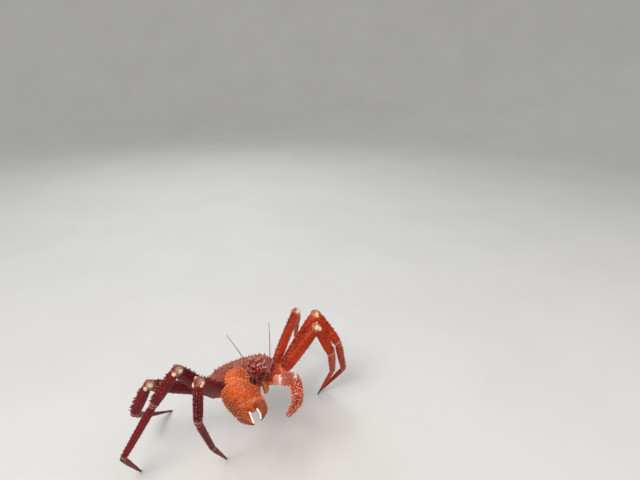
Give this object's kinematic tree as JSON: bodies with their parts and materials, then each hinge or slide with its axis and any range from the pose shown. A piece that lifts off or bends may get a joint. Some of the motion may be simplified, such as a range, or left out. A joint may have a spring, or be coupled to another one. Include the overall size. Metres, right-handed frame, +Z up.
{
  "type": "king crab",
  "caption": "Life-size still model of a king crab standing on six spiny walking legs, its two unequal claws held in front of a thorny carapace.",
  "frame": {"origin": "middle of the footprint of the whole model, on the floor that the feet stand on", "axes": "+Z up, the crab faces -Y, its left side is +X"},
  "size_m": [0.506, 0.449, 0.2746],
  "materials": {
    "shell": "thorny shell, satin, orange red with pale spine tips",
    "leg": "satin shell, deep red",
    "claw": "grainy shell, satin, bright orange red",
    "underside": "satin shell, pale orange",
    "eye": "glossy black",
    "feeler": "satin, dark red"
  },
  "bodies": {
    "root": {"carapace": "shell", "rostrum": "shell", "thorax": "underside", "abdomen": "underside", "eye_right": "eye", "antenna_right": "feeler", "antennule_right": "feeler", "maxilliped_right": "underside", "claw_right_coxa": "claw", "claw_right_merus": "claw", "claw_right_carpus": "claw", "claw_right_palm": "claw", "claw_right_finger": "claw", "leg_front_right_coxa": "leg", "leg_front_right_merus": "leg", "leg_front_right_carpus": "leg", "leg_front_right_propodus": "leg", "leg_front_right_dactyl": "leg", "leg_middle_right_coxa": "leg", "leg_middle_right_merus": "leg", "leg_middle_right_carpus": "leg", "leg_middle_right_propodus": "leg", "leg_middle_right_dactyl": "leg", "leg_rear_right_coxa": "leg", "leg_rear_right_merus": "leg", "leg_rear_right_carpus": "leg", "leg_rear_right_propodus": "leg", "leg_rear_right_dactyl": "leg", "eye_left": "eye", "antenna_left": "feeler", "antennule_left": "feeler", "maxilliped_left": "underside", "claw_left_coxa": "claw", "claw_left_merus": "claw", "claw_left_carpus": "claw", "claw_left_palm": "claw", "claw_left_finger": "claw", "leg_front_left_coxa": "leg", "leg_front_left_merus": "leg", "leg_front_left_carpus": "leg", "leg_front_left_propodus": "leg", "leg_front_left_dactyl": "leg", "leg_middle_left_coxa": "leg", "leg_middle_left_merus": "leg", "leg_middle_left_carpus": "leg", "leg_middle_left_propodus": "leg", "leg_middle_left_dactyl": "leg", "leg_rear_left_coxa": "leg", "leg_rear_left_merus": "leg", "leg_rear_left_carpus": "leg", "leg_rear_left_propodus": "leg", "leg_rear_left_dactyl": "leg"}
  },
  "joints": []
}
